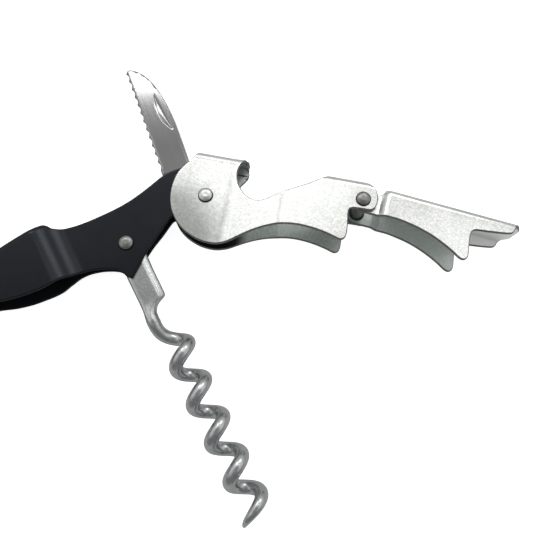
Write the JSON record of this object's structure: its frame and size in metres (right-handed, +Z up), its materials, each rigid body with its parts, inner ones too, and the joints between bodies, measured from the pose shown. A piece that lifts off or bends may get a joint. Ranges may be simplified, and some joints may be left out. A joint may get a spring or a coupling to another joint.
{
  "type": "waiter's corkscrew",
  "caption": "Folding waiter's corkscrew with a black sheet-steel handle, two-stage bright steel lever with a cap-lifting notch, serrated foil knife and open helical worm.",
  "frame": {"origin": "middle of the object's box on the surface it lies on, tools open", "axes": "+Z up, along every hinge axis; +X from the handle's tail to the lever's tip; +Y towards the knife, away from the worm"},
  "size_m": [0.1686, 0.11, 0.0142],
  "materials": {
    "handle_black": "satin black coating on steel sheet",
    "lever_steel": "bright nickel-plated steel sheet with faint mottling",
    "blade_steel": "polished stainless blade",
    "worm_steel": "polished steel wire",
    "rivet_steel": "satin steel"
  },
  "bodies": {
    "handle": {"handle_shell": "handle_black", "worm_rivet": "rivet_steel"},
    "pivot": {"head_rivet": "rivet_steel", "knife_washer_front": "rivet_steel", "knife_washer_rear": "rivet_steel"},
    "lever": {"upper_lever": "lever_steel", "joint_rivet": "rivet_steel"},
    "lever_end": {"lower_lever": "lever_steel"},
    "knife": {"knife_blade": "blade_steel"},
    "screw": {"worm": "worm_steel"}
  },
  "joints": [
    {"name": "rivet_turn", "type": "hinge", "parent": "handle", "child": "pivot", "pos_m": [0.00832, 0.02017, 0.0071], "axis": [0, 0, 1], "range_deg": [-68.8, 0]},
    {"name": "lever_swing", "type": "hinge", "parent": "pivot", "child": "lever", "pos_m": [0.00832, 0.02017, 0.0071], "axis": [0, 0, 1], "range_deg": [-68.8, 3]},
    {"name": "lever_end_fold", "type": "hinge", "parent": "lever", "child": "lever_end", "pos_m": [0.0457, 0.01843, 0.0071], "axis": [0, 0, 1], "range_deg": [-6, 40]},
    {"name": "knife_fold", "type": "hinge", "parent": "handle", "child": "knife", "pos_m": [0.00832, 0.02017, 0.0071], "axis": [0, 0, -1], "range_deg": [-70, 4]},
    {"name": "worm_fold", "type": "hinge", "parent": "handle", "child": "screw", "pos_m": [-0.01017, 0.00848, 0.0071], "axis": [0, 0, 1], "range_deg": [-90, 5]}
  ]
}
